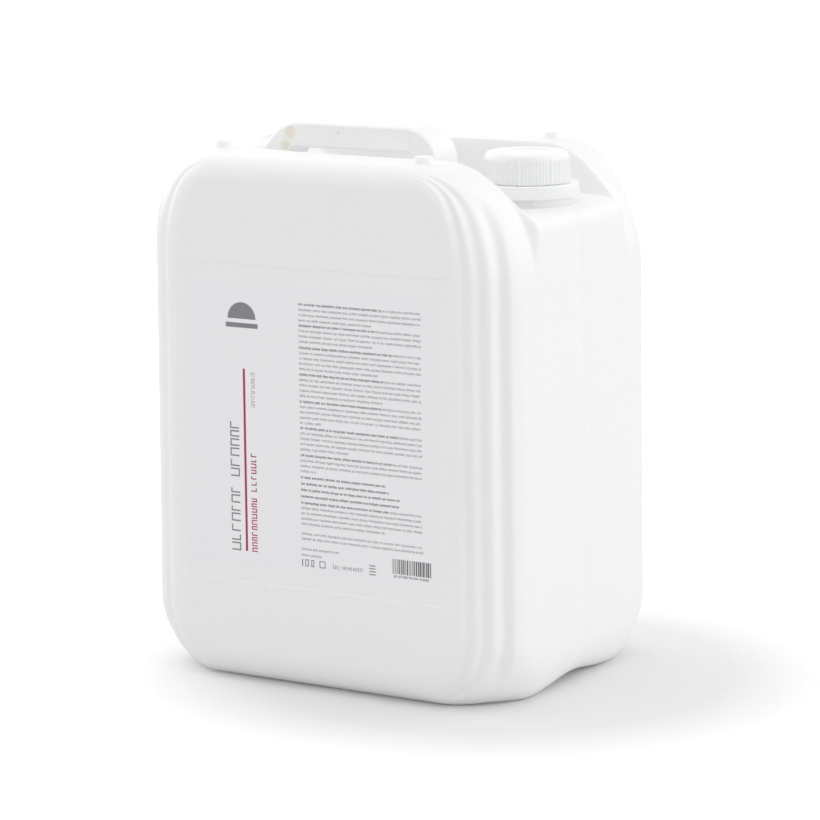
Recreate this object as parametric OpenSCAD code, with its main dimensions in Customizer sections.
/* [Can] */
// Width of the can at mid height
can_w = 230; // [218:1:242]
// How much further each side stands out at the floor than at the shoulders
side_taper = 2.6; // [0:0.2:4]
// Depth of the can from front to back
can_d = 185; // [176:1:200]
// Height of the two shoulders above the valley floor
shoulder_h = 26.5; // [13:0.1:42]
// Thickness of the moulded wall
wall = 2; // [1.6:0.1:2.4]
// Rounding of the front and back faces into the top
top_edge_r = 12; // [9:0.5:15]
// Rounding of the front and back faces into the base
base_edge_r = 18; // [14:0.5:22]
// Rounding of the four upright edges
upright_r = 33; // [28:1:36]
// How far the flat front and back panels stay in from the sides
panel_margin = 33; // [28:0.5:34]

/* [Corners of the outline] */
// Reach of the corner beside the neck, across
neck_corner_w = 55; // [48:1:60]
// Reach of the corner beside the neck, down
neck_corner_h = 64; // [54:1:72]
// Extra rounding towards front and back on the corner beside the neck
neck_corner_bulge = 15; // [0:1:16]
// Reach of the top corner away from the neck, across
far_corner_w = 50; // [34:1:54]
// Reach of the top corner away from the neck, down
far_corner_h = 50; // [42:1:58]
// Reach of the far top corner halfway to the middle, across
far_mid_w = 14; // [12:1:26]
// Reach of the far top corner halfway to the middle, down
far_mid_h = 19; // [16:1:34]
// Reach of the two base corners, across
base_corner_w = 44; // [30:1:50]
// Reach of the two base corners, up
base_corner_h = 41; // [34:1:62]
// Reach of the two base corners halfway to the middle, across
base_mid_w = 14; // [12:1:20]
// Reach of the two base corners halfway to the middle, up
base_mid_h = 26; // [20:1:34]
// Extra rounding towards front and back on the two base corners
base_corner_bulge = 8; // [0:1:14]

/* [Flutes] */
// Depth of the flute beside the side wall
outer_flute = 2.4; // [0:0.2:3]
// Depth of the two flutes beside the panel
inner_flute = 1; // [0:0.2:1.4]

/* [Valley and base channel] */
// Height of the valley floor above the ground
valley_h = 261.3; // [254:0.1:265]
// Half of the valley's width at its floor
valley_half = 46; // [42:1:48]
// Run of the valley's side walls towards front and back
valley_wall = 6; // [4:0.5:8]
// Length of the valley's floor along the can, from the neck side
valley_l = 163; // [158:1:168]
// Depth of the groove that carries on from the valley to the far side
groove_depth = 2.8; // [1.5:0.1:10]
// Half of that groove's width
groove_half = 18; // [15:0.5:22]
// Height of the channel under the base
channel_h = 4.2; // [2:0.2:10]
// Half of the channel's width
channel_half = 44; // [36:1:48]

/* [Stacking studs] */
// Width of a stud at its foot
stud_d = 12.6; // [10:0.2:15]
// Height of a stud above the shoulder
stud_h = 4; // [2:0.2:5]

/* [Handle] */
// Height of the grip's top above the valley floor
handle_h = 38; // [35:0.1:43]
// Width of the handle from front to back
handle_w = 25; // [20:0.5:28]
// Thickness of the grip
handle_t = 13.8; // [10:0.2:15]
// Outer face of the upright leg, from the middle of the can
handle_leg_x = 30.6; // [28:0.1:36]
// Outer end of the sloping leg's grip, from the middle of the can
handle_far_x = 72; // [68:0.5:76]
// Radius of the bend over the upright leg
handle_bend_r = 12; // [9:0.5:14]

/* [Neck and thread] */
// Distance from the side of the can to the neck's axis
neck_inset = 34.7; // [33:0.1:38]
// Height of the neck's rim above the valley floor
neck_h = 24.9; // [24:0.1:28]
// Radius of the neck's bore
neck_bore_r = 16.5; // [14:0.25:16.75]
// Radius of the neck under its thread
neck_r = 18.8; // [18.4:0.1:19.2]
// How far the thread stands out of the neck
thread_depth = 1.4; // [1.2:0.1:1.5]
// Rise of the thread in one turn
thread_pitch = 4; // [3.6:0.2:4.4]

/* [Cap] */
// Outer radius of the cap over its main ribs
cap_r = 23.5; // [23:0.25:25]
// Thickness of the cap's top
cap_top_t = 2; // [1.6:0.2:2.6]
// Depth of the dish in the cap's top
cap_dish = 0.8; // [0:0.1:1]
// Number of main ribs
main_ribs = 8; // [6:1:10]
// How far the main ribs stand out
rib_depth = 0.7; // [0.4:0.1:0.9]
// Number of fine ribs between two main ribs
fine_ribs = 8; // [4:1:9]
// Thickness of the foam disc in the cap
liner_t = 1; // [0.8:0.1:1.6]

/* [Tamper ring] */
// Outer radius of the ring
ring_r = 28.1; // [27.5:0.1:29]
// Height of the ring
ring_h = 7; // [6.4:0.2:7.6]
// Gap from the valley floor to the ring
ring_lift = 4.2; // [3.5:0.1:5]

/* [Label] */
// Width of the printed label
label_w = 159.2; // [140:0.1:165]
// Height of the printed label
label_h = 156.7; // [140:0.1:160]
// Height of the label's lower edge above the ground
label_z = 65; // [62:0.5:69]
// Sideways shift of the label from the middle of the panel
label_shift = -2.1; // [-4:0.1:4]
// Radius of the label's corners
label_corner_r = 3; // [1:0.5:6]
// Thickness of the label film
label_t = 0.15; // [0.1:0.05:0.3]
// Depth of the moulded field that the label sits in
field_depth = 0.4; // [0.3:0.05:0.6]

/* [Fit] */
// Clearance between the cap and the neck thread, along a radius
thread_gap = 0.6; // [0.5:0.05:0.8]
// Clearance between the ring, the bead it is held by and the cap
ring_gap = 0.4; // [0.3:0.05:0.5]

/* [Hidden] */
$fn = 96;

half_w = can_w / 2;
half_d = can_d / 2;
shoulder_z = valley_h + shoulder_h;
upright_step = 1;       // points along each upright side
corner_step = 9;        // points round each corner of the outline
base_step = 3;          // points along the base
edge_step = 12;         // rows round each front and back edge
inner_corner_step = 6;  // the same two for the cavity
inner_edge_step = 7;
flute_span = 11;        // half of a flute's width, in degrees round the edge
inner_flute_span = 9;
outer_flute_at = 34;    // place of the flutes, in degrees from the side wall
inner_flutes_at = [55, 70];
flute_lean = 0.3;       // share by which the flutes lean towards the side round a corner
outer_fade = [20, 60];  // where the flutes fade out, in degrees round a corner
inner_fade = [55, 90];
full_from = 45;         // the three fuller corners change from this distance to the middle
full_run = 40;
lip_power = 9;          // squareness of the valley's outer lip
valley_end_run = 38;    // run of the rise at the closed end of the valley
narrow_from = 0.2;      // share of the top at which the valley starts to narrow
narrow_power = 3.2;
panel_corner_ease = 5;  // how much tighter the panel's corners are than the can's
panel_corner_drop = 4;
panel_base_ease = 8;

neck_x = half_w - neck_inset;
thread_r = neck_r + thread_depth;
rim_z = valley_h + neck_h;
ring_z = valley_h + ring_lift;
ring_top = ring_z + ring_h;
skirt_z = ring_top + ring_gap;
cap_ceiling = rim_z + liner_t;
cap_top_z = cap_ceiling + cap_top_t;
cap_inner_r = thread_r + thread_gap;
ring_flange = 1.4;      // thickness of the ring's top flange and its hooks
ring_wall = 1.8;
bead_r = neck_r + 4.8;  // the bead that holds the ring
hook_r = bead_r - 1;    // the ring's hooks reach under the bead
collar_r = hook_r + 1.6;
collar_flare = 3;       // widening of the collar's foot
neck_root = 6;          // how far the neck is carried down through the valley's wall

tooth = thread_pitch * 0.4;
thread_start = skirt_z + 1.5;
thread_turns = 2;
thread_step = 24;       // rings of points in one turn of the thread
thread_root = 0.3;      // how far the thread is set into its wall
cap_crest_r = neck_r + 0.7;

rib_phase = 18;         // angle of the first main rib
rib_half = 1.9;         // half of a main rib's width at its foot, in degrees
cap_core_r = cap_r - rib_depth;
fine_rib_depth = rib_depth * 0.55;
cap_crown_h = 3;        // height of the smooth crown above the ribs
cap_crown_r = cap_core_r - 2.8;
dish_r = 13.6;

field_z0 = label_z - 8; // moulded field that the label sits in
field_z1 = label_z + label_h + 9.6;
field_w = can_w - panel_margin;
field_y = field_depth - half_d;

// ---- curves of the can's skin; inset t is 0 outside and the wall inside ----
function mix(a, b, k) = a + (b - a) * k;
function ease(k) = k <= 0 ? 0 : k >= 1 ? 1 : k * k * (3 - 2 * k);
function spread(v, p) = sign(v) * pow(abs(v), p);
function arc(cx, cz, a, b, ang, p = 1) =
    [cx + a * spread(cos(ang), p), cz + b * spread(sin(ang), p)];

// Stations round the outline: [kind, share along it]. Kinds: 0 neck side, 1 neck corner,
// 2 top, 3 far corner, 4 far side, 5 far base corner, 6 base, 7 neck-side base corner.
function run(kind, n) = [for (i = [0 : n - 1]) [kind, i / n]];
function stations(corner) = concat(
    run(0, upright_step), run(1, corner + 2), run(2, corner + 3), run(3, corner),
    run(4, upright_step), run(5, corner), run(6, base_step), run(7, corner));

function station_angle(s) =
    s[0] == 1 ? 90 * s[1] : s[0] == 3 ? 90 + 90 * s[1] :
    s[0] == 5 ? 180 + 90 * s[1] : s[0] == 7 ? 270 + 90 * s[1] :
    s[0] == 0 ? 0 : s[0] == 2 ? 90 : s[0] == 4 ? 180 : 270;

// One closed outline, from the reach of its three kinds of corner
function outline(s, w, top, low, nw, nh, fw, fh, bw, bh) =
    let (a = station_angle(s), k = s[1])
    s[0] == 0 ? [w, mix(low + bh, top - nh, k)] :
    s[0] == 1 ? arc(w - nw, top - nh, nw, nh, a) :
    s[0] == 2 ? [mix(w - nw, fw - w, k), top] :
    s[0] == 3 ? arc(fw - w, top - fh, fw, fh, a) :
    s[0] == 4 ? [-w, mix(top - fh, low + bh, k)] :
    s[0] == 5 ? arc(bw - w, low + bh, bw, bh, a) :
    s[0] == 6 ? [mix(bw - w, w - bw, k), low] :
    arc(w - bw, low + bh, bw, bh, a);

// Outline of the sides at distance y from the middle. Three corners are fuller near the middle.
function fullness(y) = 1 - ease((abs(y) - full_from) / full_run);
function side_line(s, y, t) =
    let (k = fullness(y))
    outline(s, half_w - t, shoulder_z - t, t, neck_corner_w - t, neck_corner_h - t,
        mix(far_corner_w, far_mid_w, k) - t, mix(far_corner_h, far_mid_h, k) - t,
        mix(base_corner_w, base_mid_w, k) - t, mix(base_corner_h, base_mid_h, k) - t);

// Outline of the flat panel on the front and the back
function panel_line(s) = outline(s, half_w - panel_margin, shoulder_z - top_edge_r, base_edge_r,
    neck_corner_w - panel_margin - panel_corner_ease,
    neck_corner_h - top_edge_r - panel_corner_drop,
    far_corner_w - panel_margin, far_corner_h - top_edge_r,
    base_corner_w - panel_margin + panel_base_ease, base_corner_h - base_edge_r);

// Outline along the valley: the lip by the neck, the floor, and the groove past its closed end
function valley_line(s, y, t) =
    let (p = side_line(s, y, t), end = half_w - t - valley_l, floor_z = valley_h - t,
         foot = shoulder_z - neck_corner_h, groove_z = shoulder_z - groove_depth - t)
    s[0] == 1 ? arc(half_w - neck_corner_w, foot, neck_corner_w - t, floor_z - foot,
                    station_angle(s), 2 / lip_power) :
    s[0] == 2 ? [p[0], mix(floor_z, groove_z, ease((end - p[0]) / valley_end_run))] :
    s[0] == 3 ? [p[0], p[1] - groove_depth * sin(station_angle(s))] :
    p;

// Half of the valley's width at a station: it narrows to the groove
function valley_reach(s) =
    s[0] == 2 ? mix(valley_half, groove_half,
                    pow(max(0, (s[1] - narrow_from) / (1 - narrow_from)), narrow_power)) :
    s[0] == 3 ? groove_half :
    s[0] == 4 ? mix(groove_half, valley_half, ease(s[1])) : valley_half;

// Rounding towards the front and the back, and how strong the flutes are, at a station
function corner_bulge(kind) = kind == 1 ? neck_corner_bulge : kind > 4 ? base_corner_bulge : 0;
function edge_r(s) =
    let (a = station_angle(s), up = pow(cos(a), 2))
    mix(sin(a) > 0 ? top_edge_r : base_edge_r, upright_r, up)
        + corner_bulge(s[0]) * pow(sin(2 * a), 2);
function flute_share(s, fade) =
    1 - ease((asin(abs(sin(station_angle(s)))) - fade[0]) / (fade[1] - fade[0]));
function bump(x) = abs(x) < 1 ? pow(cos(90 * x), 2) : 0;
function flute(s, q) =
    let (lean = 1 - flute_lean * pow(sin(station_angle(s)), 4))
    outer_flute * flute_share(s, outer_fade) * bump((q - outer_flute_at * lean) / flute_span)
    + inner_flute * flute_share(s, inner_fade)
        * (bump((q - inner_flutes_at[0] * lean) / inner_flute_span)
           + bump((q - inner_flutes_at[1] * lean) / inner_flute_span));

// Lift of the base over the channel, at a height z and a distance y from the middle
function channel(y, z, t) =
    channel_h * bump(y / (channel_half + t)) * pow(max(0, 1 - (z - t) / (base_corner_h - t)), 2);

// The sides spread a little towards the floor
function tapered(p) = [p[0] * (1 + side_taper / half_w * (0.5 - p[2] / shoulder_z)), p[1], p[2]];

// A point of the strip between the front and back edges, at distance y from the middle
function strip_point(s, y, t) =
    let (k = ease((valley_reach(s) + valley_wall + t - abs(y)) / valley_wall),
         p = mix(side_line(s, y, t), valley_line(s, y, t), k))
    tapered([p[0], y, p[1] + channel(y, p[1], t)]);

// A point of the rounded edge, q degrees from the side wall towards the panel. On the inside
// the cavity runs in one smooth sweep behind the flutes.
function edge_point(s, q, t) =
    let (r = edge_r(s), y = half_d - r + (r - t) * sin(q),
         b = panel_line(s), a = side_line(s, y, t), d = a - b,
         sink = t > 0 ? outer_flute * flute_share(s, inner_fade) * sin(2 * q) : flute(s, q),
         p = mix(a, b, 1 - cos(q)) - d * (sink * cos(q) / norm(d)))
    tapered([p[0], sink * sin(q) - y, p[1] + channel(y, p[1], t)]);

function flip_y(p) = [p[0], -p[1], p[2]];
function half_rows(t, line, steps) = concat(
    [for (j = [0 : steps]) [for (s = line) edge_point(s, 90 * (1 - j / steps), t)]],
    [for (k = [2 / 3, 1 / 3]) [for (s = line)
        strip_point(s, -mix(valley_reach(s) + valley_wall + t, half_d - edge_r(s), k), t)]],
    [for (k = [1, 0.75, 0.5, 0.25, 0]) [for (s = line)
        strip_point(s, -valley_reach(s) - t - k * valley_wall, t)]],
    [for (k = [0.75, 0.5, 0.25]) [for (s = line) strip_point(s, -k * (valley_reach(s) + t), t)]]);
function skin_rows(t, corner, steps) =
    let (line = stations(corner), rows = half_rows(t, line, steps), n = len(rows))
    concat(rows, [[for (s = line) strip_point(s, 0, t)]],
        [for (j = [n - 1 : -1 : 0]) [for (p = rows[j]) flip_y(p)]]);
OUTER = skin_rows(0, corner_step, edge_step);
CAVITY = skin_rows(wall, inner_corner_step, inner_edge_step);

// A closed solid through rings of points, all with as many points
module loft(rings) {
    n = len(rings[0]);
    m = len(rings);
    sides = [for (j = [0 : m - 2], i = [0 : n - 1], half = [0, 1])
        let (k = (i + 1) % n, a = j * n + i, b = j * n + k)
        half == 0 ? [a, b, a + n] : [b, b + n, a + n]];
    polyhedron(
        points = [for (ring = rings, p = ring) p],
        faces = concat([[for (i = [n - 1 : -1 : 0]) i]], sides,
            [[for (i = [0 : n - 1]) (m - 1) * n + i]]),
        convexity = 6);
}

// ---- handle: a rounded bar along a path in the middle plane ----
grip_z = valley_h + handle_h - handle_t / 2;
leg_x = handle_leg_x - handle_t / 2;
bend_steps = 6;
function bend(cx, cz, r, from, to) =
    [for (i = [0 : bend_steps]) let (a = mix(from, to, i / bend_steps))
        [cx + r * cos(a), cz + r * sin(a), a]];
far_bend_r = 16;
far_x = -handle_far_x + handle_t;
far_slope = 48;
leg_sink = 9;           // how far both legs run on into the can
function handle_path() =
    let (far = bend(far_x, grip_z - far_bend_r, far_bend_r, 90 + far_slope, 90), first = far[0],
         run = (first[1] - shoulder_z + groove_depth + leg_sink) / sin(far_slope))
    concat([[first[0] - run * cos(far_slope), first[1] - run * sin(far_slope), 90 + far_slope]],
        far,
        bend(leg_x - handle_bend_r, grip_z - handle_bend_r, handle_bend_r, 90, 0),
        [[leg_x, valley_h - wall / 2, 0]]);
section_power = 0.45;
function handle_ring(c) =
    [for (i = [0 : 23]) let (a = 15 * i,
        u = handle_t / 2 * spread(cos(a), section_power),
        v = handle_w / 2 * spread(sin(a), section_power))
        [c[0] + u * cos(c[2]), v, c[1] + u * sin(c[2])]];
module handle() loft([for (c = handle_path()) handle_ring(c)]);

// ---- thread: one right-handed tooth carried round and up, fading out at both ends ----
// side is 1 for a tooth that stands outwards and -1 for one that stands inwards
module thread(root_r, crest_r, z, side) {
    steps = thread_turns * thread_step;
    foot_r = root_r - side * thread_root;
    loft([for (i = [0 : steps])
        let (a = 360 * i / thread_step,
             crest = mix(root_r, crest_r, min(1, min(i, steps - i) * 4 / thread_step)),
             c = z + thread_pitch * i / thread_step, h = side * tooth / 2)
        [for (p = [[foot_r, -h], [crest, -h / 2], [crest, h / 2], [foot_r, h]])
            [p[0] * cos(a), p[0] * sin(a), c + p[1]]]]);
}

stud_root = 0.5;        // how far a stud is set into the shoulder
near_stud = [2.6, 22.8]; // the studs' places, from the corner's end and from the front face
far_stud = [17, 44.2];
module stud(x, y) {
    translate([x, y, shoulder_z - stud_root])
        cylinder(h = stud_h + stud_root, r1 = stud_d / 2, r2 = stud_d / 3);
}
module studs() {
    for (side = [-1, 1]) {
        stud(half_w - neck_corner_w - near_stud[0], side * (half_d - near_stud[1]));
        stud(far_corner_w - half_w - far_stud[0], side * (half_d - far_stud[1]));
    }
}

module neck() {
    foot = valley_h - neck_root;
    bead_z = ring_z + ring_flange + ring_gap;
    translate([neck_x, 0, 0]) {
        translate([0, 0, foot]) cylinder(h = neck_h + neck_root, r = neck_r);
        translate([0, 0, foot]) cylinder(h = ring_lift + neck_root, r = collar_r);
        translate([0, 0, foot])
            cylinder(h = neck_root + 1.5, r1 = collar_r + collar_flare, r2 = collar_r - 0.5);
        translate([0, 0, bead_z])
            cylinder(h = ring_h - 2 * (ring_flange + ring_gap), r = bead_r);
        thread(neck_r, thread_r, thread_start, 1);
    }
}

module can_body() color("white") {
    difference() {
        union() {
            loft(OUTER);
            handle();
            studs();
            neck();
        }
        loft(CAVITY);
        translate([neck_x, 0, valley_h - neck_root - 4])
            cylinder(h = neck_h + neck_root + 5, r = neck_bore_r);
        translate([-field_w / 2, field_y - 5, field_z0])
            cube([field_w, 5, field_z1 - field_z0]);
    }
}

// ---- cap: ribbed skirt, rounded crown with a shallow dish, and an inner thread ----
function at(r, a) = [r * cos(a), r * sin(a)];
module ribbed_skirt(h) {
    sector = 360 / main_ribs;
    pitch = (sector - 2 * rib_half) / (fine_ribs + 1);
    linear_extrude(height = h)
        polygon([for (m = [0 : main_ribs - 1]) let (a = rib_phase + sector * m)
            each concat(
                [at(cap_core_r, a - rib_half), at(cap_r, a - rib_half * 0.7),
                 at(cap_r, a + rib_half * 0.7), at(cap_core_r, a + rib_half)],
                [for (f = [1 : fine_ribs], e = [-0.36, -0.16, 0.16, 0.36])
                    at(abs(e) < 0.3 ? cap_core_r + fine_rib_depth : cap_core_r,
                       a + rib_half + pitch * (f + e))])]);
}
module crown() {
    steps = 6;
    rotate_extrude()
        polygon(concat([[0, 0]],
            [for (i = [0 : steps]) let (a = 90 * i / steps)
                [mix(cap_crown_r, cap_core_r, cos(a)), cap_crown_h * sin(a)]],
            [[dish_r, cap_crown_h], [dish_r - 2, cap_crown_h - cap_dish], [0, cap_crown_h - cap_dish]]));
}
module screw_cap() color("white") {
    skirt_h = cap_top_z - cap_crown_h - skirt_z;
    translate([neck_x, 0, skirt_z]) {
        difference() {
            union() {
                ribbed_skirt(skirt_h);
                translate([0, 0, skirt_h]) crown();
            }
            translate([0, 0, -1]) cylinder(h = cap_ceiling - skirt_z + 1, r = cap_inner_r);
        }
        thread(cap_inner_r, cap_crest_r, thread_start - skirt_z + thread_pitch / 2, -1);
    }
}

module cap_liner() color("whitesmoke") {
    translate([neck_x, 0, rim_z]) cylinder(h = liner_t, r = cap_inner_r - 0.3);
}

// ---- tamper ring: a channel section that hangs on the bead and rests on the collar ----
module tamper_ring() color("white") {
    inner_wall_r = ring_r - ring_wall;
    chamfer = 0.9;
    translate([neck_x, 0, ring_z]) rotate_extrude()
        polygon([[hook_r, 0], [ring_r - chamfer / 2, 0], [ring_r, chamfer / 2],
            [ring_r, ring_h - chamfer], [ring_r - chamfer, ring_h], [hook_r, ring_h],
            [hook_r, ring_h - ring_flange], [inner_wall_r, ring_h - ring_flange],
            [inner_wall_r, ring_flange], [hook_r, ring_flange]]);
}

module front_label() color("whitesmoke") {
    steps = 6;
    w = label_w / 2 - label_corner_r;
    h = label_h / 2 - label_corner_r;
    translate([label_shift, field_y, label_z + label_h / 2]) rotate([90, 0, 0])
        linear_extrude(height = label_t)
            polygon([for (c = [0 : 3], i = [0 : steps]) let (a = 90 * (c + i / steps))
                [(c == 0 || c == 3 ? w : -w) + label_corner_r * cos(a),
                 (c < 2 ? h : -h) + label_corner_r * sin(a)]]);
}

can_body();
screw_cap();
cap_liner();
tamper_ring();
front_label();
